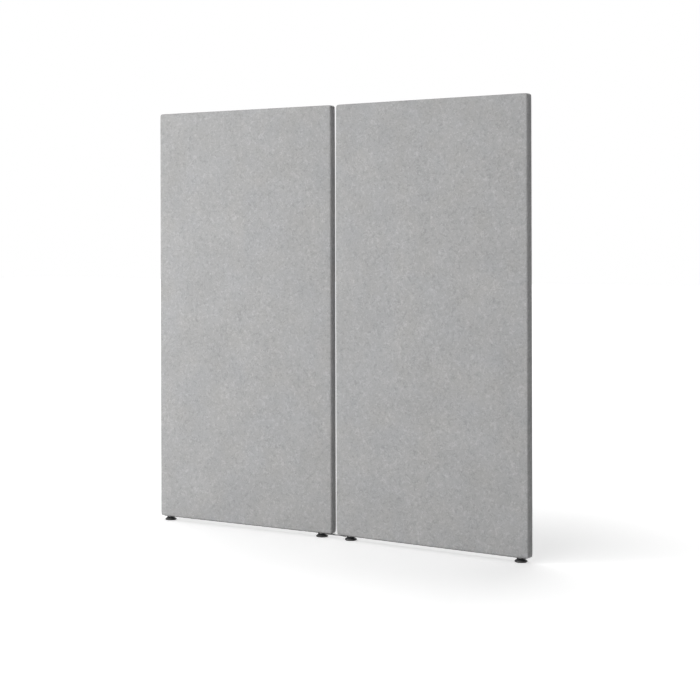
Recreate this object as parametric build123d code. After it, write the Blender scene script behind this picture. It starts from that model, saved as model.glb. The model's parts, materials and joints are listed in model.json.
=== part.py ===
from build123d import *
from math import radians, sin
import os

# An acoustic divider screen: two fabric-wrapped panels side by side, each standing on two black
# levelling feet, and joined by a plate under the gap that both panels can swing on.
# Millimetres. The screen stands on the plane z = 0, runs along X and its front faces -Y.
# The origin is on the floor, midway between the panels and, in depth, midway between the inner
# and the outer feet, because each panel is turned a little and its outer end stands forward.

# Panels
panel_width = 800.0
panel_height = 1600.0
panel_gap = 22.0
ground_clearance = 16.0
panel_turn = 1.65

# Layers of a panel, from the timber frame outwards
frame_depth = 21.0
face_padding_thickness = 6.0
edge_padding_thickness = 4.5
fabric_thickness = 1.2
fabric_clearance = 0.2
fabric_edge_radius = 7.0

# Timber frame with its dowels, and the acoustic cores that fill it
stile_width = 45.0
top_rail_height = 45.0
middle_rail_height = 45.0
timber_above_studs = 8.0
dowel_radius = 4.0
dowel_length = 40.0
dowel_hole_clearance = 0.05
dowel_hole_spare = 1.0
dowel_spacing_share = 0.5
core_clearance = 0.3

# Closing strip under each panel, which clamps the open ends of the cover
base_strip_thickness = 1.2
base_strip_margin = 7.0
base_strip_end_margin = 12.0
base_strip_corner_share = 0.25
strip_screw_count = 5
strip_screw_end_distance = 110.0
strip_screw_head_radius = 3.6
strip_screw_head_height = 2.0
strip_screw_radius = 1.75
strip_screw_length = 18.0

# Levelling feet with their threaded inserts
outer_foot_inset = 38.0
inner_foot_inset = 53.0
stud_radius = 4.0
stud_length = 30.0
stud_clearance = 0.06
stud_chamfer = 0.8
insert_radius = 6.0
insert_length = 25.0
insert_flange_radius = 10.5
insert_flange_thickness = 1.0
insert_seat_clearance = 0.2
insert_hole_clearance = 0.05
stud_end_room = 6.0
stud_room_radius = 4.6
hex_across_flats = 26.0
hex_pad_clearance = 0.6
pad_radius = 22.5
pad_rim_height = 3.2
pad_shoulder_radius = 20.0
pad_shoulder_height = 2.8
pad_top_radius = 15.0
pad_lip_height = 3.6
socket_floor_thickness = 0.7
swivel_head_radius = 6.5
swivel_head_height = 2.8
swivel_clearance = 0.08
sole_radius = 21.0
sole_bore_radius = 11.0
sole_thickness = 2.4
sole_proud = 1.0
sole_edge_radius = 0.6
sole_clearance = 0.05

# Link plate under the gap, with the shoulder screw that each panel swings on
link_screw_inset = 26.0
link_plate_width = 22.0
link_plate_thickness = 2.5
link_plate_chamfer = 0.4
link_washer_radius = 8.0
link_washer_thickness = 0.5
link_clearance = 0.2
link_bore_clearance = 0.1
link_head_radius = 6.0
link_head_height = 2.2
link_shoulder_radius = 4.0
link_thread_radius = 3.0
link_thread_length = 22.0
link_thread_clearance = 0.05
link_key_across_flats = 4.0
link_key_depth = 1.4
link_insert_radius = 4.5
link_insert_length = 18.0

# Small shapes that all screws share
screw_tip_length = 3.0
screw_tip_share = 0.15
screw_hole_clearance = 0.05
driver_slot_length_share = 0.6
driver_slot_width_share = 0.16
driver_slot_depth_share = 0.5

cut_overrun = 2.0
quarter_turn = 90.0
hex_sides = 6

# Worked out from the sizes above
cover_layer = fabric_thickness + fabric_clearance
panel_depth = frame_depth + 2 * (face_padding_thickness + cover_layer)
frame_inset = cover_layer + edge_padding_thickness
frame_width = panel_width - 2 * frame_inset
frame_height = panel_height - 2 * frame_inset
frame_bottom = ground_clearance + frame_inset
frame_top = frame_bottom + frame_height
panel_middle = ground_clearance + panel_height / 2
strip_bottom = ground_clearance - base_strip_thickness
flange_bottom = strip_bottom - insert_flange_thickness
pad_bottom = sole_proud
pad_rim_top = pad_bottom + pad_rim_height
pad_shoulder_top = pad_rim_top + pad_shoulder_height
socket_floor = sole_thickness + socket_floor_thickness
swivel_bottom = socket_floor + swivel_clearance
swivel_top = swivel_bottom + swivel_head_height
pad_top = swivel_top + swivel_clearance + pad_lip_height
hex_bottom = pad_top + hex_pad_clearance
hex_top = flange_bottom - insert_seat_clearance
insert_top = strip_bottom + insert_length
stud_top = hex_top + stud_length
stud_room_top = stud_top + stud_end_room
dowel_hole_length = dowel_length + dowel_hole_spare
bottom_rail_top = stud_room_top + timber_above_studs + dowel_hole_length / 2
bottom_rail_height = bottom_rail_top - frame_bottom
top_rail_bottom = frame_top - top_rail_height
link_plate_top = strip_bottom - link_washer_thickness - link_clearance
link_plate_bottom = link_plate_top - link_plate_thickness
link_head_top = link_plate_bottom - link_clearance
link_head_bottom = link_head_top - link_head_height
link_thread_top = strip_bottom + link_thread_length
link_screw_x = panel_gap / 2 + link_screw_inset
inner_foot_x = panel_gap / 2 + inner_foot_inset
outer_foot_x = panel_gap / 2 + panel_width - outer_foot_inset
turn_depth = ((inner_foot_x + outer_foot_x) / 2 - link_screw_x) * sin(radians(panel_turn))

sides = {"left": -1, "right": 1}
feet_x = {"inner": inner_foot_x, "outer": outer_foot_x}


def panel_x(side, distance):
    """The X of a place that lies at a distance from a panel's edge beside the gap."""
    return side * (panel_gap / 2 + distance)


def panel_form(side, inset):
    """A panel's rounded outer form, taken in by inset all round."""
    block = Box(panel_width - 2 * inset, panel_depth - 2 * inset, panel_height - 2 * inset)
    block = fillet(block.edges(), fabric_edge_radius - inset)
    return Pos(panel_x(side, panel_width / 2), 0, panel_middle) * block


def layer_between(form, side, front, back):
    """The part of a panel's form that lies between two planes square to Y."""
    slab = Box(panel_width + cut_overrun, back - front, panel_height + cut_overrun)
    return form & (Pos(panel_x(side, panel_width / 2), (front + back) / 2, panel_middle) * slab)


def upright_cylinder(radius, bottom, top):
    return Pos(0, 0, (bottom + top) / 2) * Cylinder(radius, top - bottom)


def upright_cone(bottom_radius, top_radius, bottom, top):
    return Pos(0, 0, (bottom + top) / 2) * Cone(bottom_radius, top_radius, top - bottom)


def driver_slots(radius, height):
    """The cross in a screw's head, which is at the origin and faces -Z."""
    length = 2 * radius * driver_slot_length_share
    width = 2 * radius * driver_slot_width_share
    depth = height * driver_slot_depth_share
    return Pos(0, 0, depth / 2) * (Box(length, width, depth) + Box(width, length, depth))


def screw_shank(radius, start, length, spare):
    """A screw's body and point, along +Z."""
    tip_start = length - screw_tip_length
    body = upright_cylinder(radius + spare, start, tip_start)
    point = upright_cone(radius + spare, radius * screw_tip_share + spare, tip_start, length + spare)
    return body + point


def strip_screw_form(spare):
    """A pan head wood screw along +Z with its head at the origin, larger by spare."""
    head = upright_cylinder(strip_screw_head_radius, 0, strip_screw_head_height)
    return head + screw_shank(strip_screw_radius, strip_screw_head_height, strip_screw_length, spare)


def strip_screw_places(side):
    """Where the screws of a panel's closing strip start, spread evenly along it."""
    spread = panel_width - 2 * strip_screw_end_distance
    step = spread / (strip_screw_count - 1)
    bottom = strip_bottom - strip_screw_head_height
    return [
        Pos(panel_x(side, strip_screw_end_distance + index * step), 0, bottom)
        for index in range(strip_screw_count)
    ]


def foot_places(side):
    return [Pos(side * x, 0, 0) for x in feet_x.values()]


def link_place(side):
    return Pos(side * link_screw_x, 0, 0)


def turned(side):
    """Where a panel stands: turned about its link screw, with its outer end forward."""
    return Pos(0, turn_depth, 0) * link_place(side) * Rot(0, 0, -side * panel_turn) * link_place(-side)


def base_holes(side):
    """The holes for the inserts, studs and screws, through all layers of the base."""
    below = strip_bottom - cut_overrun
    insert = upright_cylinder(insert_radius + insert_hole_clearance, below, insert_top)
    room = upright_cylinder(stud_room_radius, insert_top, stud_room_top)
    screw = strip_screw_form(screw_hole_clearance)
    link_thread = upright_cylinder(link_thread_radius + link_thread_clearance, below, link_thread_top)
    link_insert = upright_cylinder(
        link_insert_radius + insert_hole_clearance, frame_bottom, frame_bottom + link_insert_length
    )
    holes = [place * (insert + room) for place in foot_places(side)]
    holes += [place * screw for place in strip_screw_places(side)]
    return holes + [link_place(side) * (link_thread + link_insert)]


def fabric_cover(side, face):
    """Half of a panel's sewn cover: face is -1 at the front and 1 at the back."""
    shell = panel_form(side, 0) - panel_form(side, fabric_thickness)
    reach = face * panel_depth
    half = layer_between(shell, side, min(0, reach), max(0, reach))
    return half - base_holes(side)


def face_padding(side, face):
    """The sheet of padding that covers one face of the frame."""
    near = face * frame_depth / 2
    far = near + face * face_padding_thickness
    return layer_between(panel_form(side, cover_layer), side, min(near, far), max(near, far))


def edge_padding(side):
    """The strip of padding round the frame's four edges."""
    ring = layer_between(panel_form(side, cover_layer), side, -frame_depth / 2, frame_depth / 2)
    opening = Box(frame_width, frame_depth + cut_overrun, frame_height)
    ring -= Pos(panel_x(side, panel_width / 2), 0, panel_middle) * opening
    return ring - base_holes(side)


rails = {
    "top": (top_rail_bottom, frame_top, frame_width),
    "middle": (
        panel_middle - middle_rail_height / 2,
        panel_middle + middle_rail_height / 2,
        frame_width - 2 * stile_width,
    ),
    "bottom": (frame_bottom, bottom_rail_top, frame_width),
}


def dowel_places(side):
    """Two dowels across each meeting of a stile with a rail."""
    places = []
    sideways = Rot(0, quarter_turn, 0)
    rail_step = middle_rail_height * dowel_spacing_share / 2
    stile_step = stile_width * dowel_spacing_share / 2
    for from_end in (frame_inset + stile_width / 2, panel_width - frame_inset - stile_width / 2):
        for step in (-stile_step, stile_step):
            for level in (bottom_rail_top, top_rail_bottom):
                places.append(Pos(panel_x(side, from_end + step), 0, level))
    for from_end in (frame_inset + stile_width, panel_width - frame_inset - stile_width):
        for step in (-rail_step, rail_step):
            places.append(Pos(panel_x(side, from_end), 0, panel_middle + step) * sideways)
    return places


def dowel_holes(side):
    hole = Cylinder(dowel_radius + dowel_hole_clearance, dowel_hole_length)
    return [place * hole for place in dowel_places(side)]


def stile(side, edge):
    """An upright of the frame: the inner one is beside the gap."""
    from_gap = frame_inset + stile_width / 2
    if edge == "outer":
        from_gap = panel_width - from_gap
    height = top_rail_bottom - bottom_rail_top
    middle = (top_rail_bottom + bottom_rail_top) / 2
    upright = Pos(panel_x(side, from_gap), 0, middle) * Box(stile_width, frame_depth, height)
    return upright - dowel_holes(side)


def rail(side, name):
    """The top and bottom rails run the frame's full width, and the middle one fits between the stiles."""
    bottom, top, length = rails[name]
    bar = Box(length, frame_depth, top - bottom)
    bar = Pos(panel_x(side, panel_width / 2), 0, (bottom + top) / 2) * bar
    bar -= dowel_holes(side)
    if name == "bottom":
        bar -= base_holes(side)
    return bar


def frame_dowels(side):
    dowel = Cylinder(dowel_radius, dowel_length)
    return Compound([place * dowel for place in dowel_places(side)])


def acoustic_core(side, name):
    """The absorbing block in the upper or lower opening of the frame."""
    middle_bottom, middle_top, opening_width = rails["middle"]
    bottom, top = (middle_top, top_rail_bottom) if name == "upper" else (bottom_rail_top, middle_bottom)
    block = Box(opening_width - 2 * core_clearance, frame_depth, top - bottom - 2 * core_clearance)
    return Pos(panel_x(side, panel_width / 2), 0, (bottom + top) / 2) * block


def base_strip(side):
    """The strip under a panel, with rounded corners."""
    length = panel_width - 2 * base_strip_end_margin
    width = panel_depth - 2 * base_strip_margin
    strip = Box(length, width, base_strip_thickness)
    strip = fillet(strip.edges().filter_by(Axis.Z), width * base_strip_corner_share)
    strip = Pos(panel_x(side, panel_width / 2), 0, strip_bottom + base_strip_thickness / 2) * strip
    return strip - base_holes(side)


def strip_screws(side):
    screw = strip_screw_form(0) - driver_slots(strip_screw_head_radius, strip_screw_head_height)
    return Compound([place * screw for place in strip_screw_places(side)])


def foot_inserts(side):
    """The flanged threaded inserts that a panel's two feet screw into."""
    insert = upright_cylinder(insert_flange_radius, flange_bottom, strip_bottom)
    insert += upright_cylinder(insert_radius, strip_bottom, insert_top)
    bore = upright_cylinder(
        stud_radius + stud_clearance, flange_bottom - cut_overrun, insert_top + cut_overrun
    )
    insert -= bore
    return Compound([place * insert for place in foot_places(side)])


def foot_screw(place):
    """A foot's stud, with the hexagon it is turned by and the head that swivels in the pad."""
    stud = upright_cylinder(stud_radius, hex_top, stud_top)
    stud = chamfer(stud.faces().sort_by(Axis.Z)[-1].edges(), stud_chamfer)
    hexagon = extrude(
        Pos(0, 0, hex_bottom) * RegularPolygon(hex_across_flats / 2, hex_sides, major_radius=False),
        hex_top - hex_bottom,
    )
    neck = upright_cylinder(stud_radius, swivel_top, hex_bottom)
    head = upright_cylinder(swivel_head_radius, swivel_bottom, swivel_top)
    return place * (stud + hexagon + neck + head)


def foot_pad(place):
    """A foot's domed round pad, with the socket for the stud's head and the sole's ring recess."""
    pad = upright_cylinder(pad_radius, pad_bottom, pad_rim_top)
    pad += upright_cone(pad_radius, pad_shoulder_radius, pad_rim_top, pad_shoulder_top)
    pad += upright_cone(pad_shoulder_radius, pad_top_radius, pad_shoulder_top, pad_top)
    socket_radius = swivel_head_radius + swivel_clearance
    pad -= upright_cylinder(socket_radius, socket_floor, swivel_top + swivel_clearance)
    pad -= upright_cylinder(stud_radius + stud_clearance, swivel_top, pad_top + cut_overrun)
    recess = upright_cylinder(sole_radius + sole_clearance, pad_bottom - cut_overrun, sole_thickness)
    recess -= upright_cylinder(sole_bore_radius - sole_clearance, pad_bottom - cut_overrun, sole_thickness)
    return place * (pad - recess)


def foot_sole(place):
    """The rubber ring that stands on the floor."""
    sole = upright_cylinder(sole_radius, 0, sole_thickness)
    sole -= upright_cylinder(sole_bore_radius, -cut_overrun, sole_thickness + cut_overrun)
    sole = fillet(sole.faces().sort_by(Axis.Z)[0].edges(), sole_edge_radius)
    return place * sole


def link_insert(side):
    """The threaded insert that holds a panel's link screw."""
    insert = upright_cylinder(link_insert_radius, frame_bottom, frame_bottom + link_insert_length)
    bore = upright_cylinder(link_thread_radius + link_thread_clearance, 0, stud_room_top)
    return link_place(side) * (insert - bore)


def link_washer(side):
    """The thin washer that keeps the link plate off the closing strip."""
    washer = upright_cylinder(link_washer_radius, strip_bottom - link_washer_thickness, strip_bottom)
    bore = upright_cylinder(link_shoulder_radius + link_bore_clearance, 0, strip_bottom + cut_overrun)
    return link_place(side) * (washer - bore)


def link_screw(side):
    """The shoulder screw that a panel swings on, with a hexagon socket in its head."""
    screw = upright_cylinder(link_head_radius, link_head_bottom, link_head_top)
    screw += upright_cylinder(link_shoulder_radius, link_head_top, strip_bottom)
    screw += upright_cylinder(link_thread_radius, strip_bottom, link_thread_top)
    key = RegularPolygon(link_key_across_flats / 2, hex_sides, major_radius=False)
    screw -= extrude(Pos(0, 0, link_head_bottom) * key, link_key_depth)
    return link_place(side) * screw


def link_plate():
    """The round-ended plate under the gap, which both panels swing on."""
    outline = SlotCenterToCenter(2 * link_screw_x, link_plate_width)
    plate = extrude(Pos(0, 0, link_plate_bottom) * outline, link_plate_thickness)
    faces = plate.faces().sort_by(Axis.Z)
    plate = chamfer(faces[0].edges() + faces[-1].edges(), link_plate_chamfer)
    bore = upright_cylinder(link_shoulder_radius + link_bore_clearance, 0, strip_bottom)
    return plate - [link_place(side) * bore for side in sides.values()]


parts = {"link_plate": Pos(0, turn_depth, 0) * link_plate()}
for side_name, side in sides.items():
    panel = {
        "front_fabric": fabric_cover(side, -1),
        "rear_fabric": fabric_cover(side, 1),
        "front_padding": face_padding(side, -1),
        "rear_padding": face_padding(side, 1),
        "edge_padding": edge_padding(side),
        "frame_dowels": frame_dowels(side),
        "base_strip": base_strip(side),
        "strip_screws": strip_screws(side),
        "foot_inserts": foot_inserts(side),
        "link_insert": link_insert(side),
        "link_washer": link_washer(side),
        "link_screw": link_screw(side),
    }
    for edge in ("inner", "outer"):
        panel[edge + "_stile"] = stile(side, edge)
    for rail_name in rails:
        panel[rail_name + "_rail"] = rail(side, rail_name)
    for core_name in ("upper", "lower"):
        panel[core_name + "_core"] = acoustic_core(side, core_name)
    for foot_name, place in zip(feet_x, foot_places(side)):
        panel[foot_name + "_foot_screw"] = foot_screw(place)
        panel[foot_name + "_foot_pad"] = foot_pad(place)
        panel[foot_name + "_foot_sole"] = foot_sole(place)
    for piece, shape in panel.items():
        parts[f"{side_name}_{piece}"] = turned(side) * shape

os.makedirs("parts", exist_ok=True)
for name, shape in parts.items():
    export_step(shape, f"parts/{name}.step")
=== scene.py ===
import bpy
import bmesh
import json
from math import atan2, cos, hypot, pi, radians, sin
from mathutils import Matrix, Vector, noise


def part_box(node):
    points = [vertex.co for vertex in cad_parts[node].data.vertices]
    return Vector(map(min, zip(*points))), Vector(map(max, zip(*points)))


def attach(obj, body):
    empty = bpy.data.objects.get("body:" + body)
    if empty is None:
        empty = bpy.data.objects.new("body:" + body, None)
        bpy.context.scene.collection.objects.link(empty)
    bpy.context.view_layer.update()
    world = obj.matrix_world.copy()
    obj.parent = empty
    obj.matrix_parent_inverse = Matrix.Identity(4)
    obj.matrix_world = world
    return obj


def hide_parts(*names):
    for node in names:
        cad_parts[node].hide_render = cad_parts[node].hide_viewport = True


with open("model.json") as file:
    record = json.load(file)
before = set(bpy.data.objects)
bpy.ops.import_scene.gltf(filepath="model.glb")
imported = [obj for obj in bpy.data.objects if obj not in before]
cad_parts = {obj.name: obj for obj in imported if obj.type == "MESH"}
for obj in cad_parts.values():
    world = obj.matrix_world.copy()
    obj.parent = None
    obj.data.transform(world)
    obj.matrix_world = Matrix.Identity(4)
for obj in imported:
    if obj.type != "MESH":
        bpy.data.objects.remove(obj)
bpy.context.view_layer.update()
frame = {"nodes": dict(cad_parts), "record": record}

# An acoustic divider screen: two upholstered panels on levelling feet, linked under the gap.
# Metres, in the frame of the CAD model: +X along the screen, the front faces -Y, +Z up.

record = frame["record"]
nodes = frame["nodes"]
bodies = record["behaviour"]["bodies"]
mounts = {mount["name"]: Vector(mount["pos_m"]) for mount in record["mounts"]}
sides = {"left": -1, "right": 1}
feet = ("inner", "outer")
mm = 0.001


# Camera

camera = {
    "place": (3.14105, -4.82938, 1.11127),
    "turn": 32.4526,          # degrees to the left of straight on
    "roll": -0.14354,
    "lens": 79.5336,
    "sensorWidth": 36,
    "shiftY": -0.156718,
    "farthest": 100,
}


def makeCamera(values):
    data = bpy.data.cameras.new("camera")
    data.lens = values["lens"]
    data.sensor_width = values["sensorWidth"]
    data.shift_y = values["shiftY"]
    data.clip_end = values["farthest"]
    eye = bpy.data.objects.new("camera", data)
    bpy.context.scene.collection.objects.link(eye)
    upright = Matrix.Rotation(radians(90), 4, "X")
    turned = Matrix.Rotation(radians(values["turn"]), 4, "Z") @ upright
    eye.matrix_world = (
        Matrix.Translation(values["place"]) @ turned @ Matrix.Rotation(radians(values["roll"]), 4, "Z")
    )
    bpy.context.scene.camera = eye


makeCamera(camera)
print("camera made")


# Small tools for nodes

mixSockets = {"share": 0, "first": 6, "second": 7, "result": 2}   # those of a Mix node set to colours


def addNode(tree, kind, inputs=None, **settings):
    node = tree.nodes.new(kind)
    for key, value in settings.items():
        setattr(node, key, value)
    for key, value in (inputs or {}).items():
        if isinstance(value, bpy.types.NodeSocket):
            tree.links.new(value, node.inputs[key])
        else:
            node.inputs[key].default_value = value
    return node


def compute(tree, operation, *values):
    return addNode(tree, "ShaderNodeMath", dict(enumerate(values)), operation=operation).outputs[0]


def computeVector(tree, operation, inputs, output="Vector"):
    return addNode(tree, "ShaderNodeVectorMath", inputs, operation=operation).outputs[output]


def noiseOf(tree, place, scale, output="Fac", **others):
    inputs = {"Vector": place, "Scale": scale, **others}
    return addNode(tree, "ShaderNodeTexNoise", inputs).outputs[output]


def spread(tree, value, reached, given=(0.3, 0.7)):
    return addNode(
        tree, "ShaderNodeMapRange",
        {
            "Value": value, "From Min": given[0], "From Max": given[1],
            "To Min": reached[0], "To Max": reached[1],
        },
    ).outputs[0]


def blendColour(tree, share, first, second, kind="MIX"):
    inputs = {mixSockets["share"]: share, mixSockets["first"]: first, mixSockets["second"]: second}
    node = addNode(tree, "ShaderNodeMix", inputs, data_type="RGBA", blend_type=kind)
    return node.outputs[mixSockets["result"]]


def moved(tree, place, offset, turn=(0, 0, 0), stretch=(1, 1, 1)):
    # a TEXTURE mapping turns the pattern first and then stretches it
    return addNode(
        tree, "ShaderNodeMapping",
        {"Vector": place, "Location": offset, "Rotation": turn, "Scale": stretch},
        vector_type="TEXTURE",
    ).outputs[0]


def raiseBump(tree, shader, height, depth):
    bump = addNode(tree, "ShaderNodeBump", {"Height": height, "Distance": depth})
    tree.links.new(bump.outputs[0], shader.inputs["Normal"])


def newGroup(name, inputs, outputs):
    group = bpy.data.node_groups.new(name, "ShaderNodeTree")
    for label in ("Vector",) + inputs:
        kind = "NodeSocketVector" if label == "Vector" else "NodeSocketFloat"
        group.interface.new_socket(name=label, in_out="INPUT", socket_type=kind)
    for label in outputs:
        group.interface.new_socket(name=label, in_out="OUTPUT", socket_type="NodeSocketFloat")
    start = addNode(group, "NodeGroupInput")
    end = addNode(group, "NodeGroupOutput")
    return group, start.outputs, end


def useGroup(tree, group, place, **values):
    return addNode(tree, "ShaderNodeGroup", {"Vector": place, **values}, node_tree=group).outputs


def newMaterial(name, surface):
    material = bpy.data.materials.new(name)
    material.use_nodes = True
    tree = material.node_tree
    tree.nodes.clear()
    shader = addNode(tree, "ShaderNodeBsdfPrincipled", surface)
    output = addNode(tree, "ShaderNodeOutputMaterial")
    tree.links.new(shader.outputs[0], output.inputs[0])
    place = addNode(tree, "ShaderNodeTexCoord").outputs["Object"]
    return material, tree, shader, place


# Effects that several materials share

curl = {
    "places": {"Light": (0, 0, 0), "Dark": (3.7, 1.9, 5.3)},   # pale and dark curls lie apart
    "line": {"Detail": 1.0, "Roughness": 0.45},
    "middle": 0.5,            # a curl runs where the noise passes this value
    "fuzzFiner": 9.0,         # how much finer the fraying is than the curls
    "fuzzMiddle": (0.5, 0.5, 0.5),
    "breakPlace": (8.1, 2.2, 4.4),
    "breakCoarser": 0.9,
    "breakRange": (0.42, 0.56),
}


def makeCurlsGroup(values):
    group, given, end = newGroup("curlyFibres", ("Scale", "Warp", "Width", "Fray"), ("Light", "Dark"))
    place, scale = given["Vector"], given["Scale"]
    fuzz = noiseOf(group, place, compute(group, "MULTIPLY", scale, values["fuzzFiner"]), "Color")
    fuzz = computeVector(group, "SUBTRACT", {0: fuzz, 1: values["fuzzMiddle"]})
    fuzz = computeVector(group, "SCALE", {0: fuzz, "Scale": given["Fray"]})
    frayed = computeVector(group, "ADD", {0: place, 1: fuzz})
    breakScale = compute(group, "MULTIPLY", scale, values["breakCoarser"])
    for label, offset in values["places"].items():
        base = moved(group, frayed, offset)
        field = noiseOf(group, base, scale, Distortion=given["Warp"], **values["line"])
        away = compute(group, "ABSOLUTE", compute(group, "SUBTRACT", field, values["middle"]))
        line = compute(group, "SUBTRACT", 1.0, compute(group, "DIVIDE", away, given["Width"]))
        line = compute(group, "MAXIMUM", line, 0.0)
        breaks = noiseOf(group, moved(group, base, values["breakPlace"]), breakScale)
        breaks = spread(group, breaks, (0.0, 1.0), values["breakRange"])
        group.links.new(compute(group, "MULTIPLY", line, breaks), end.inputs[label])
    return group


strands = {
    "turns": ((0.2, 0.35, 0.1), (0.1, 1.45, 0.3), (0.3, 2.45, 0.2)),   # the fine fibres lie three ways
    "stretch": (1, 1, 9),
    "noise": {"Roughness": 0.6, "Distortion": 0.4},
}


def makeNapGroup(values):
    group, given, end = newGroup("fineNap", ("Scale",), ("Height",))
    height = None
    for turn in values["turns"]:
        along = moved(group, given["Vector"], (0, 0, 0), turn, values["stretch"])
        strand = noiseOf(group, along, given["Scale"], **values["noise"])
        height = strand if height is None else compute(group, "MAXIMUM", height, strand)
    group.links.new(height, end.inputs["Height"])
    return group


patches = {"Detail": 4.0, "Roughness": 0.6}


def makeGrainGroup(values):
    group, given, end = newGroup("fineGrain", ("Scale", "Patches"), ("Height", "Patch"))
    pebbles = addNode(
        group, "ShaderNodeTexVoronoi", {"Vector": given["Vector"], "Scale": given["Scale"]},
        feature="SMOOTH_F1",
    ).outputs["Distance"]
    patch = noiseOf(group, given["Vector"], given["Patches"], **values)
    group.links.new(pebbles, end.inputs["Height"])
    group.links.new(patch, end.inputs["Patch"])
    return group


growth = {
    "rings": {"Distortion": 5.0, "Detail": 3.0, "Detail Scale": 0.6},
    "poreScale": 1400.0,
}


def makeWoodGroup(values):
    group, given, end = newGroup("woodRings", ("Scale", "Stretch"), ("Rings", "Pores"))
    along = addNode(group, "ShaderNodeCombineXYZ", {"X": 1.0, "Y": 1.0, "Z": given["Stretch"]}).outputs[0]
    drawn = computeVector(group, "MULTIPLY", {0: given["Vector"], 1: along})
    rings = addNode(
        group, "ShaderNodeTexWave", {"Vector": drawn, "Scale": given["Scale"], **values["rings"]},
        wave_type="RINGS", rings_direction="Z", wave_profile="SAW",
    ).outputs["Fac"]
    group.links.new(rings, end.inputs["Rings"])
    group.links.new(noiseOf(group, drawn, values["poreScale"]), end.inputs["Pores"])
    return group


curlsGroup = makeCurlsGroup(curl)
napGroup = makeNapGroup(strands)
grainGroup = makeGrainGroup(patches)
woodGroup = makeWoodGroup(growth)


# Materials

melange = {
    "name": "melangeFelt",
    "surface": {"Roughness": 0.92, "Sheen Weight": 0.12, "Sheen Roughness": 0.45, "Specular IOR Level": 0.2},
    "colour": (0.430, 0.430, 0.430, 1),
    "pale": (0.575, 0.576, 0.578, 1),
    "deep": (0.305, 0.306, 0.308, 1),
    # the curls that show from afar, and the finer ones between them: scale, share, width, fray
    "curls": ((60.0, 0.64, 0.062, 0.0030), (150.0, 0.34, 0.075, 0.0010)),
    "curlWarp": 0.7,
    "curlRise": 0.25,         # how far the pale curls stand up, as a share of the nap
    "cloudScale": 9.0,
    "cloudDetail": 3.0,
    "cloudRange": (0.96, 1.04),
    "strandRange": (0.94, 1.045),
    "strandFrom": (0.4, 0.75),
    "tintPlace": (4.1, 0.7, 2.6),
    "tintScale": 9.0,
    "coolTint": (0.995, 1.0, 1.012, 1),
    "warmTint": (1.007, 1.0, 0.990, 1),
    "napScale": 650.0,
    "napDepth": 0.00020,
}


def makeMelange(values):
    material, tree, shader, place = newMaterial(values["name"], values["surface"])
    nap = useGroup(tree, napGroup, place, Scale=values["napScale"])["Height"]
    colour, height = values["colour"], nap
    for scale, share, width, fray in values["curls"]:
        curls = useGroup(
            tree, curlsGroup, place, Scale=scale, Warp=values["curlWarp"], Width=width, Fray=fray
        )
        for label, shade in (("Light", "pale"), ("Dark", "deep")):
            colour = blendColour(tree, compute(tree, "MULTIPLY", curls[label], share), colour, values[shade])
        height = compute(tree, "ADD", height, compute(tree, "MULTIPLY", curls["Light"], values["curlRise"]))
    clouds = noiseOf(tree, place, values["cloudScale"], Detail=values["cloudDetail"])
    clouds = spread(tree, clouds, values["cloudRange"])
    fibres = spread(tree, nap, values["strandRange"], values["strandFrom"])
    tone = compute(tree, "MULTIPLY", clouds, fibres)
    tone = addNode(tree, "ShaderNodeCombineColor", {0: tone, 1: tone, 2: tone}).outputs[0]
    drift = noiseOf(tree, moved(tree, place, values["tintPlace"]), values["tintScale"])
    drift = spread(tree, drift, (0.0, 1.0))
    tint = blendColour(tree, drift, values["coolTint"], values["warmTint"])
    colour = blendColour(tree, 1.0, colour, tone, "MULTIPLY")
    colour = blendColour(tree, 1.0, colour, tint, "MULTIPLY")
    tree.links.new(colour, shader.inputs["Base Color"])
    raiseBump(tree, shader, height, values["napDepth"])
    return material


wool = {
    "surface": {"Roughness": 0.95, "Sheen Weight": 0.2},
    "napScale": 260.0,
    "loftScale": 45.0,
    "loftDetail": 4.0,
}
wadding = {
    "name": "wadding",
    "colour": (0.80, 0.80, 0.78, 1),
    "shade": (0.66, 0.66, 0.64, 1),
    "depth": 0.0005,
}
pressedWool = {
    "name": "pressedWool",
    "colour": (0.30, 0.30, 0.31, 1),
    "shade": (0.20, 0.20, 0.21, 1),
    "depth": 0.0008,
}


def makeWool(values, kind):
    material, tree, shader, place = newMaterial(kind["name"], values["surface"])
    nap = useGroup(tree, napGroup, place, Scale=values["napScale"])["Height"]
    loft = noiseOf(tree, place, values["loftScale"], Detail=values["loftDetail"])
    tree.links.new(blendColour(tree, loft, kind["shade"], kind["colour"]), shader.inputs["Base Color"])
    raiseBump(tree, shader, compute(tree, "ADD", nap, loft), kind["depth"])
    return material


planed = {"surface": {"Roughness": 0.55}, "stretch": 0.05, "poreShare": 0.25, "depth": 0.0002}
timber = {"name": "planedPine", "early": (0.74, 0.56, 0.36, 1), "late": (0.52, 0.33, 0.17, 1), "scale": 38.0}
beech = {"name": "beech", "early": (0.70, 0.49, 0.32, 1), "late": (0.58, 0.37, 0.22, 1), "scale": 90.0}


def makeWood(values, kind):
    material, tree, shader, place = newMaterial(kind["name"], values["surface"])
    grain = useGroup(tree, woodGroup, place, Scale=kind["scale"], Stretch=values["stretch"])
    colour = blendColour(tree, grain["Rings"], kind["early"], kind["late"])
    pores = compute(tree, "MULTIPLY", grain["Pores"], values["poreShare"])
    tree.links.new(blendColour(tree, pores, colour, kind["late"]), shader.inputs["Base Color"])
    raiseBump(tree, shader, compute(tree, "ADD", grain["Rings"], grain["Pores"]), values["depth"])
    return material


grained = {
    "patches": 60.0,
    "palerTimes": 1.35,       # the paler patches of a colour
    "palerPlus": 0.004,
    "roughnessSpread": 0.07,
}
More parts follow.
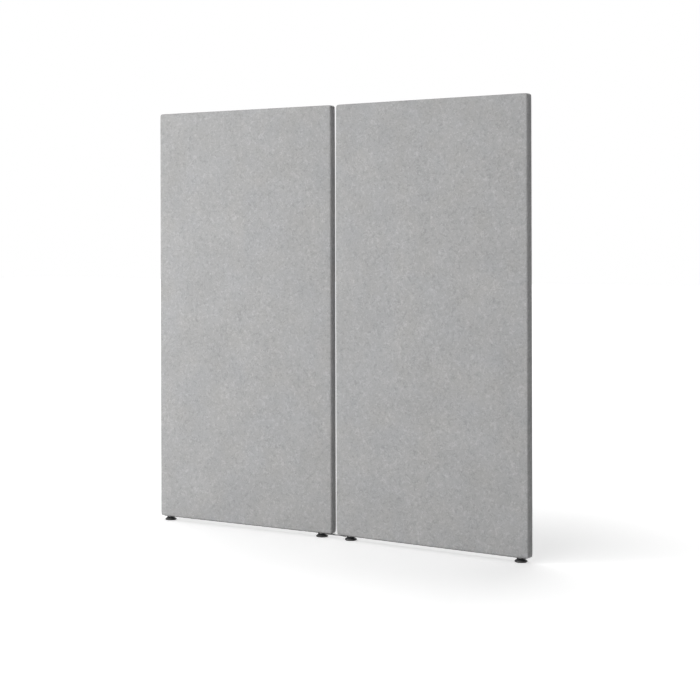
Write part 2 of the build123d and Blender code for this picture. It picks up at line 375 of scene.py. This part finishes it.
# a finish's name, colour, roughness, metallic share, scale of the grain and its depth
finishes = {
    "strip": ("stripPlastic", (0.030, 0.030, 0.031, 1), 0.55, 0.0, 900.0, 0.00006),
    "plastic": ("mouldedPlastic", (0.014, 0.014, 0.015, 1), 0.38, 0.0, 1300.0, 0.00003),
    "rubber": ("soleRubber", (0.018, 0.018, 0.018, 1), 0.75, 0.0, 1100.0, 0.00005),
    "blackZinc": ("blackZinc", (0.020, 0.020, 0.022, 1), 0.34, 0.75, 1500.0, 0.00002),
    "zinc": ("zincPlate", (0.50, 0.50, 0.48, 1), 0.36, 1.0, 700.0, 0.00002),
    "plate": ("plateSteel", (0.20, 0.20, 0.20, 1), 0.52, 0.9, 700.0, 0.00003),
    "nylon": ("nylon", (0.72, 0.71, 0.66, 1), 0.42, 0.0, 900.0, 0.00003),
}


def makeGrained(values, name, colour, roughness, metallic, scale, depth):
    material, tree, shader, place = newMaterial(name, {"Roughness": roughness, "Metallic": metallic})
    grain = useGroup(tree, grainGroup, place, Scale=scale, Patches=values["patches"])
    paler = tuple(channel * values["palerTimes"] + values["palerPlus"] for channel in colour[:3]) + (1,)
    tree.links.new(blendColour(tree, grain["Patch"], colour, paler), shader.inputs["Base Color"])
    either = values["roughnessSpread"]
    rough = spread(tree, grain["Patch"], (roughness - either, roughness + either))
    tree.links.new(rough, shader.inputs["Roughness"])
    raiseBump(tree, shader, grain["Height"], depth)
    return material


materials = {
    "cloth": makeMelange(melange),
    "wadding": makeWool(wool, wadding),
    "core": makeWool(wool, pressedWool),
    "timber": makeWood(planed, timber),
    "dowel": makeWood(planed, beech),
}
for finish, values in finishes.items():
    materials[finish] = makeGrained(grained, *values)
finishOfSlot = {
    "melange_cloth": "cloth", "padding_felt": "wadding", "acoustic_wool": "core",
    "frame_timber": "timber", "dowel_beech": "dowel", "black_strip": "strip",
    "black_plastic": "plastic", "sole_rubber": "rubber", "black_stud": "blackZinc",
    "zinc_steel": "zinc", "nylon": "nylon",
}
slotOfNode = {part["node"]: part["material_slot"] for part in record["subparts"]}
for name, node in nodes.items():
    node.data.materials.clear()
    finish = "plate" if name == "link_plate" else finishOfSlot[slotOfNode[name]]
    node.data.materials.append(materials[finish])
print("materials made")


# Where each panel stands, worked out from the box round its turned cover

cover = {
    "edgeRadius": 0.007,
    "cornerRadius": 0.010,
    "bevelSteps": 6,
    "cutsAlong": 39,
    "cutsUp": 79,
    "roundingLevels": 1,
    "clothThickness": 0.0012,
    "faceFrom": 0.999,        # how squarely a point has to look out of a face to lie on it
    "crown": 0.0012,          # how far the padding swells the faces
    "crownPower": 6,          # a higher power keeps the swell level for longer before the rim
    "sag": 0.0004,            # slow unevenness of the padding
    "sagPower": 12,
    "sagScale": 5.0,
    "sagBetweenFaces": 40,    # sets the front's unevenness apart from the rear's
    "endSwell": {"left": 0.0004, "right": 0.0028},   # how far the ends beside the gap are filled out
    "endReach": (1, 3),       # whole within the first of these edge radii of the end, none past the second
    "endPower": {"upper": 4, "lower": 40},
    "seamHalfWidth": 0.0016,
    "seamDepth": 0.0011,
    "seamRows": (-4, -1, -0.5, 0, 0.5, 1, 4),        # cuts beside the seam, in half widths of it
    "cornerFrom": 0.05,       # how far a point has to look both ways to lie on a rounded corner
    "dartHalfWidth": 0.0016,
    "dartDepth": 0.0009,
    "smoothBelow": 40,        # degrees
}


def joinBoxes(*names):
    corners = [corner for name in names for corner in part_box(name)]
    low = Vector([min(corner[i] for corner in corners) for i in range(3)])
    high = Vector([max(corner[i] for corner in corners) for i in range(3)])
    return low, high


def panelPlace(side, radius):
    low, high = joinBoxes(side + "_front_fabric", side + "_rear_fabric")
    across = mounts[side + "_outer_foot_sole_face"] - mounts[side + "_inner_foot_sole_face"]
    across *= sides[side]
    turn = atan2(across.y, across.x)
    rounded = 2 * radius
    c, s = cos(turn), abs(sin(turn))
    wide, deep = high.x - low.x - rounded, high.y - low.y - rounded
    width = (wide * c - deep * s) / (c * c - s * s) + rounded
    depth = (deep * c - wide * s) / (c * c - s * s) + rounded
    size = Vector((width, depth, high.z - low.z))
    return Matrix.Translation((low + high) / 2) @ Matrix.Rotation(turn, 4, "Z"), size


places = {side: panelPlace(side, cover["edgeRadius"]) for side in sides}
panelSize = places["left"][1]
print("panel size", [round(value, 4) for value in panelSize])


# Small tools for modelling

mergeWithin = 0.000005


def startObject(name):
    piece = bpy.context.object
    piece.name = name
    piece.data.name = name
    return piece


def deselectAll():
    bpy.ops.object.select_all(action="DESELECT")


def makeActive(piece):
    deselectAll()
    piece.select_set(True)
    bpy.context.view_layer.objects.active = piece


def copyOf(piece, name):
    twin = piece.copy()
    twin.data = piece.data.copy()
    twin.name = name
    twin.data.name = name
    bpy.context.scene.collection.objects.link(twin)
    return twin


def applyModifiers(piece):
    makeActive(piece)
    for modifier in list(piece.modifiers):
        bpy.ops.object.modifier_apply(modifier=modifier.name)


def closeMesh():
    # merges what meets, and turns the faces outwards
    bpy.ops.mesh.select_all(action="SELECT")
    bpy.ops.mesh.remove_doubles(threshold=mergeWithin)
    bpy.ops.mesh.normals_make_consistent(inside=False)


def selectEdges(piece, wanted):
    mesh = bmesh.from_edit_mesh(piece.data)
    for face in mesh.faces:
        face.select = False
    for vertex in mesh.verts:
        vertex.select = False
    for edge in mesh.edges:
        edge.select = wanted(edge)
    mesh.select_flush_mode()
    bmesh.update_edit_mesh(piece.data)


def giveMaterial(piece, finish):
    piece.data.materials.clear()
    piece.data.materials.append(materials[finish])


def smooth(piece, degrees):
    makeActive(piece)
    bpy.ops.object.shade_smooth_by_angle(angle=radians(degrees))


# Sewn covers: one whole cover is shaped at the origin, then cut into its front and rear halves

def shapeCover(values, size):
    deselectAll()
    bpy.ops.mesh.primitive_cube_add(size=1)
    whole = startObject("wholeCover")
    whole.scale = size
    bpy.ops.object.transform_apply(location=False, rotation=False, scale=True)
    bpy.ops.object.mode_set(mode="EDIT")
    bpy.ops.mesh.select_mode(type="EDGE")
    bpy.ops.mesh.select_all(action="SELECT")
    bpy.ops.mesh.bevel(
        offset=values["edgeRadius"], offset_type="OFFSET", segments=values["bevelSteps"], affect="EDGES"
    )
    halfLength = size.x / 2
    for axis, cuts in ((0, values["cutsAlong"]), (2, values["cutsUp"])):
        selectEdges(
            whole, lambda edge: abs(edge.verts[0].co[axis] - edge.verts[1].co[axis]) > halfLength
        )
        bpy.ops.mesh.subdivide(number_cuts=cuts)
    for row in values["seamRows"]:
        bpy.ops.mesh.select_all(action="SELECT")
        bpy.ops.mesh.bisect(plane_co=(0, row * values["seamHalfWidth"], 0), plane_no=(0, 1, 0))
    bpy.ops.object.mode_set(mode="OBJECT")
    return whole


def roundedCorner(point, values, half):
    # the corners seen from the front are rounder than the edges
    radius, corner = values["edgeRadius"], values["cornerRadius"]
    rise = max(0.0, abs(point.y) - (half.y - radius))
    reach = corner - radius + (max(0.0, radius ** 2 - rise ** 2)) ** 0.5
    beyond = Vector((abs(point.x) - half.x + corner, 0, abs(point.z) - half.z + corner))
    if beyond.x <= 0 or beyond.z <= 0 or beyond.length <= reach:
        return point.copy()
    drawn = beyond * (reach / beyond.length)
    return Vector((
        (half.x - corner + drawn.x) * (1 if point.x > 0 else -1),
        point.y,
        (half.z - corner + drawn.z) * (1 if point.z > 0 else -1),
    ))


def faceSwell(point, values, half):
    across, up = point.x / half.x, point.z / half.z
    power = values["crownPower"]
    swell = (1 - across ** power) * (1 - up ** power) * values["crown"]
    spot = Vector((point.x, point.y * values["sagBetweenFaces"], point.z))
    drift = noise.noise(spot * values["sagScale"]) * values["sag"]
    power = values["sagPower"]
    return swell + drift * ((1 - across ** power) * (1 - up ** power))


def settledPoint(point, values, size):
    half = size / 2
    radius = values["edgeRadius"]
    core = Vector([max(-(half[i] - radius), min(half[i] - radius, point[i])) for i in range(3)])
    outward = point - core
    outward = outward.normalized() if outward.length > 0 else Vector((0, 1, 0))
    result = roundedCorner(point, values, half)
    if abs(outward.y) > values["faceFrom"]:
        result.y += (1 if point.y > 0 else -1) * faceSwell(point, values, half)
    seam = max(0.0, 1 - abs(point.y) / values["seamHalfWidth"])
    result -= outward * seam * values["seamDepth"]
    beyond = Vector((abs(outward.x), 0, abs(outward.z)))
    if min(beyond.x, beyond.z) > values["cornerFrom"] and point.z > 0:   # the dart of an upper corner
        offLine = abs(beyond.x - beyond.z) / hypot(beyond.x, beyond.z) * radius
        dart = max(0.0, 1 - offLine / values["dartHalfWidth"])
        result -= outward * dart * values["dartDepth"] * min(1.0, beyond.length)
    return result


def makeCovers(values, size):
    whole = shapeCover(values, size)
    for vertex in whole.data.vertices:
        vertex.co = settledPoint(vertex.co.copy(), values, size)
    halves = {}
    for face, sign in (("Front", 1), ("Rear", -1)):
        half = copyOf(whole, "cover" + face)
        makeActive(half)
        bpy.ops.object.mode_set(mode="EDIT")
        bpy.ops.mesh.select_all(action="SELECT")
        bpy.ops.mesh.bisect(plane_co=(0, 0, 0), plane_no=(0, sign, 0), clear_outer=True)
        bpy.ops.object.mode_set(mode="OBJECT")
        rounding = half.modifiers.new("rounding", "SUBSURF")
        rounding.levels = rounding.render_levels = values["roundingLevels"]
        cloth = half.modifiers.new("cloth", "SOLIDIFY")
        cloth.thickness = values["clothThickness"]
        cloth.offset = -1                            # the thickness goes inwards
        applyModifiers(half)
        smooth(half, values["smoothBelow"])
        halves[face] = half
    bpy.data.objects.remove(whole)
    return halves


def fillInnerEnd(piece, side, values, size):
    half, inward, radius = size / 2, -sides[side], values["edgeRadius"]
    whole, gone = values["endReach"]
    for vertex in piece.data.vertices:
        point = vertex.co
        near = (point.x * inward - half.x + gone * radius) / ((gone - whole) * radius)
        near = max(0.0, min(1.0, near))
        up = point.z / half.z
        level = 1 - up ** values["endPower"]["upper" if up > 0 else "lower"]
        point.x += inward * values["endSwell"][side] * near * max(0.0, level)


halves = makeCovers(cover, panelSize)
for side in sides:
    for face, half in halves.items():
        piece = copyOf(half, side + face + "Cover")
        fillInnerEnd(piece, side, cover, panelSize)
        piece.data.transform(places[side][0])
        giveMaterial(piece, "cloth")
        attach(piece, side + "_panel")
        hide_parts(f"{side}_{face.lower()}_fabric")
for half in halves.values():
    bpy.data.objects.remove(half)
print("covers made")


# Padding and cores: soft copies of the solids, with their edges eased

softening = {
    "mergeWithin": 0.00001,
    "flatBelow": 0.5,         # degrees between faces that are made one
    "edge": 0.0012,
    "steps": 2,
    "easeFrom": 35,           # degrees between faces whose edge is eased
    "smoothBelow": 40,        # degrees
}
# a node's piece, finish, material slot and fill
softPieces = {
    "front_padding": ("FrontWadding", "wadding", "padding_felt", 0.8),
    "rear_padding": ("RearWadding", "wadding", "padding_felt", 0.8),
    "edge_padding": ("EdgeWadding", "wadding", "padding_felt", 0.8),
    "upper_core": ("UpperCore", "core", "acoustic_wool", 1.0),
    "lower_core": ("LowerCore", "core", "acoustic_wool", 1.0),
}


def bodyOf(node):
    return next(body for body, members in bodies.items() if node in members)


def softCopy(values, node, name, finish, slotName, fill):
    piece = copyOf(nodes[node], name)
    piece.parent = None
    for key in [key for key in piece.keys() if key.startswith("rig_")]:
        del piece[key]
    makeActive(piece)
    bpy.ops.object.mode_set(mode="EDIT")
    bpy.ops.mesh.select_all(action="SELECT")
    bpy.ops.mesh.remove_doubles(threshold=values["mergeWithin"])
    bpy.ops.mesh.dissolve_limited(angle_limit=radians(values["flatBelow"]))
    bpy.ops.object.mode_set(mode="OBJECT")
    easing = piece.modifiers.new("easing", "BEVEL")
    easing.width = values["edge"]
    easing.segments = values["steps"]
    easing.angle_limit = radians(values["easeFrom"])
    applyModifiers(piece)
    bpy.ops.object.mode_set(mode="EDIT")
    bpy.ops.mesh.select_all(action="SELECT")
    bpy.ops.mesh.dissolve_degenerate(threshold=values["mergeWithin"])
    closeMesh()
    bpy.ops.object.mode_set(mode="OBJECT")
    smooth(piece, values["smoothBelow"])
    giveMaterial(piece, finish)
    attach(piece, bodyOf(node))
    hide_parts(node)


for side in sides:
    for node, (label, *others) in softPieces.items():
        softCopy(softening, f"{side}_{node}", side + label, *others)
print("padding and cores made")


# Feet: domed pads and studs, each turned round its own axis

footPad = {
    # radius and height of each point of the outline, in millimetres, from the socket's middle outwards
    "outline": (
        (0, 3.1), (6.58, 3.1), (6.58, 6.06), (4.1, 6.06), (4.1, 9.3), (4.5, 9.62), (13.9, 9.62), (14.6, 9.5),
        (15.2, 9.1), (17.3, 8.4), (19.2, 7.3), (20.6, 6.2), (21.6, 5.3), (22.2, 4.6), (22.5, 3.9), (22.5, 1.9),
        (22.3, 1.3), (21.9, 1.02), (21.1, 1.02), (21.1, 2.42), (10.9, 2.42), (10.9, 1.4), (10.5, 1.02),
        (0, 1.02),
    ),
    "steps": 72,
    "smoothBelow": 30,        # degrees
}
footScrew = {
    # the swivel head's outline, and all lengths, in millimetres too
    "outline": (
        (0, 3.2), (5.9, 3.2), (6.5, 3.8), (6.5, 5.3), (5.9, 5.95), (4.0, 5.95), (4.0, 10.6), (0, 10.6),
    ),
    "steps": 48,
    "hexagonAcross": 26.0,
    "hexagonBottom": 10.27,
    "hexagonTop": 13.58,
    "hexagonEase": 0.5,
    "hexagonEaseSteps": 3,
    "threadTop": 43.5,
    "threadRadius": 3.97,
    "threadDepth": 0.72,
    "pitch": 1.25,
    # one turn of the thread: how far out of its depth, and how far along its pitch
    "threadProfile": ((0, 0), (0, 0.2), (1, 0.55), (1, 0.68), (0, 1)),
    "threadSteps": 28,
    "turnsBelow": 2,          # where the thread starts, in turns below the hexagon's top
    "cutBelow": 0.5,          # where it is cut off, inside the hexagon
    "mergeWithin": 0.01,
    "smoothBelow": 35,        # degrees
}


def drawProfile(name, outline):
    # a point extruded along the outline, left in edit mode
    deselectAll()
    bpy.ops.mesh.primitive_plane_add(size=mm)
    piece = startObject(name)
    bpy.ops.object.mode_set(mode="EDIT")
    bpy.ops.mesh.select_mode(type="VERT")
    bpy.ops.mesh.select_all(action="SELECT")
    bpy.ops.mesh.merge(type="CENTER")
    points = [Vector((radius, 0, height)) * mm for radius, height in outline]
    bpy.ops.transform.translate(value=points[0])
    for last, point in zip(points, points[1:]):
        bpy.ops.mesh.extrude_region_move(TRANSFORM_OT_translate={"value": point - last})
    return piece


def turnOutline(name, values):
    piece = drawProfile(name, values["outline"])
    bpy.ops.mesh.select_all(action="SELECT")
    bpy.ops.mesh.spin(steps=values["steps"], angle=2 * pi, center=(0, 0, 0), axis=(0, 0, 1))
    closeMesh()
    bpy.ops.object.mode_set(mode="OBJECT")
    return piece


def makeThread(values):
    pitch, depth = values["pitch"], values["threadDepth"]
    root = values["threadRadius"] - depth
    start = values["hexagonTop"] - values["turnsBelow"] * pitch
    thread = drawProfile(
        "thread", [(root + out * depth, start + along * pitch) for out, along in values["threadProfile"]]
    )
    bpy.ops.object.mode_set(mode="OBJECT")
    winding = thread.modifiers.new("winding", "SCREW")
    winding.screw_offset = pitch * mm
    winding.iterations = int((values["threadTop"] - start) / pitch) + 1
    winding.steps = winding.render_steps = values["threadSteps"]
    winding.use_merge_vertices = True
    winding.merge_threshold = values["mergeWithin"] * mm
    applyModifiers(thread)
    bpy.ops.object.mode_set(mode="EDIT")
    closeMesh()
    bottom, top = values["hexagonTop"] - values["cutBelow"] * pitch, values["threadTop"]
    for height, below in ((bottom, True), (top, False)):
        bpy.ops.mesh.select_all(action="SELECT")
        bpy.ops.mesh.bisect(
            plane_co=(0, 0, height * mm), plane_no=(0, 0, 1), clear_inner=below, clear_outer=not below
        )
    closeMesh()
    bpy.ops.mesh.select_all(action="DESELECT")
    bpy.ops.mesh.select_non_manifold()
    bpy.ops.mesh.fill_holes(sides=0)
    closeMesh()
    bpy.ops.object.mode_set(mode="OBJECT")
    return thread


def makeHexagon(values):
    deselectAll()
    corner = values["hexagonAcross"] / 2 / cos(pi / 6) * mm
    low, high = values["hexagonBottom"] * mm, values["hexagonTop"] * mm
    bpy.ops.mesh.primitive_cylinder_add(
        vertices=6, radius=corner, depth=high - low, location=(0, 0, (low + high) / 2)
    )
    hexagon = startObject("hexagon")
    bpy.ops.object.transform_apply(location=True, rotation=False, scale=False)
    easing = hexagon.modifiers.new("easing", "BEVEL")
    easing.width = values["hexagonEase"] * mm
    easing.segments = values["hexagonEaseSteps"]
    easing.limit_method = "ANGLE"
    applyModifiers(hexagon)
    return hexagon


def joinPieces(name, *parts):
    deselectAll()
    for part in parts:
        part.select_set(True)
    bpy.context.view_layer.objects.active = parts[0]
    bpy.ops.object.join()
    parts[0].name = parts[0].data.name = name
    return parts[0]


padMaster = turnOutline("padMaster", footPad)
smooth(padMaster, footPad["smoothBelow"])
screwMaster = joinPieces(
    "screwMaster", turnOutline("swivelHead", footScrew), makeHexagon(footScrew), makeThread(footScrew)
)
smooth(screwMaster, footScrew["smoothBelow"])
for side in sides:
    for foot in feet:
        body = f"{side}_{foot}_foot"
        low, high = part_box(body + "_pad")
        centre = Matrix.Translation(((low.x + high.x) / 2, (low.y + high.y) / 2, 0))
        label = side + foot.capitalize()
        for master, kind, finish, slotName in (
            (padMaster, "pad", "plastic", "black_plastic"), (screwMaster, "screw", "blackZinc", "black_stud")
        ):
            piece = copyOf(master, label + kind.capitalize())
            piece.data.transform(centre)
            giveMaterial(piece, finish)
            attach(piece, f"{body}_{kind}")
            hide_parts(f"{body}_{kind}")
for master in (padMaster, screwMaster):
    bpy.data.objects.remove(master)
print("feet made")


# Floor and light

studio = {
    "floorSize": 60.0,
    "floorSurface": {
        "Base Color": (0.86, 0.86, 0.86, 1),
        "Roughness": 0.9,
        "Specular IOR Level": 0.0,
        "Emission Color": (1, 1, 1, 1),
    },
    "floorLift": 0.37,        # how much paler the floor looks to the camera than its light makes it
    "paintedFarLight": 0.15,          # painted light: and how much paler than that the floor is painted away from the screen, fading its far shadow
    "farStretch": (0.5, 1, 0),                       # away counts half along the screen
    "farRange": (0.45, 1.1),
    "skyColour": (1, 1, 1, 1),
    "skyStrength": 0.06,      # what lights the object; the camera sees a strength of 1
}


def seenDirectly(tree):
    path = addNode(tree, "ShaderNodeLightPath").outputs
    seen = compute(tree, "MAXIMUM", path["Is Camera Ray"], path["Is Glossy Ray"])
    return compute(tree, "MAXIMUM", seen, path["Is Transmission Ray"])


def makeFloor(values):
    deselectAll()
    bpy.ops.mesh.primitive_plane_add(size=values["floorSize"], location=(0, 0, 0))
    floor = startObject("floor")
    material, tree, shader, place = newMaterial("floorWhite", values["floorSurface"])
    # painted light: the floor's glow for the camera grows away from the screen, so the shadows far from it are
    # painted paler
    away = computeVector(tree, "MULTIPLY", {0: place, 1: values["farStretch"]})
    away = computeVector(tree, "LENGTH", {0: away}, "Value")
    near = values["floorLift"]
    lift = spread(tree, away, (near, near + values["paintedFarLight"]), values["farRange"])
    lift = compute(tree, "MULTIPLY", seenDirectly(tree), lift)
    tree.links.new(lift, shader.inputs["Emission Strength"])
    floor.data.materials.append(material)


def makeSky(values):
    world = bpy.data.worlds.new("studio")
    bpy.context.scene.world = world
    world.use_nodes = True
    tree = world.node_tree
    tree.nodes.clear()
    strength = spread(tree, seenDirectly(tree), (values["skyStrength"], 1.0), (0.0, 1.0))
    backdrop = addNode(tree, "ShaderNodeBackground", {"Color": values["skyColour"], "Strength": strength})
    output = addNode(tree, "ShaderNodeOutputWorld")
    tree.links.new(backdrop.outputs[0], output.inputs[0])


lamps = {
    "frontDome": {"kind": "SUN", "place": (-2.4, -4, 2.6), "aim": (0, 0, 0), "angle": 80, "power": 1.88},
    "rearLeft": {"kind": "SUN", "place": (-3, 3, 4.2), "aim": (0, 0, 0), "angle": 60, "power": 1.6},
    "rearRight": {"kind": "SUN", "place": (3, 2.5, 5), "aim": (0, 0, 0), "angle": 80, "power": 0.1},
    "leftBox": {"kind": "AREA", "place": (-2.0, -2.2, 1.6), "aim": (-0.2, 0, 1.0), "size": 1.2, "power": 26.0},
}


def makeLamps(values):
    for name, lamp in values.items():
        data = bpy.data.lights.new(name, lamp["kind"])
        data.energy = lamp["power"]
        if lamp["kind"] == "SUN":
            data.angle = radians(lamp["angle"])
        else:
            data.shape = "SQUARE"
            data.size = lamp["size"]
        light = bpy.data.objects.new(name, data)
        bpy.context.scene.collection.objects.link(light)
        light.location = lamp["place"]
        aim = Vector(lamp["aim"]) - Vector(lamp["place"])
        light.rotation_euler = aim.to_track_quat("-Z", "Y").to_euler()


makeFloor(studio)
makeSky(studio)
makeLamps(lamps)
bpy.context.scene.view_settings.view_transform = "Standard"
print("floor and light made")
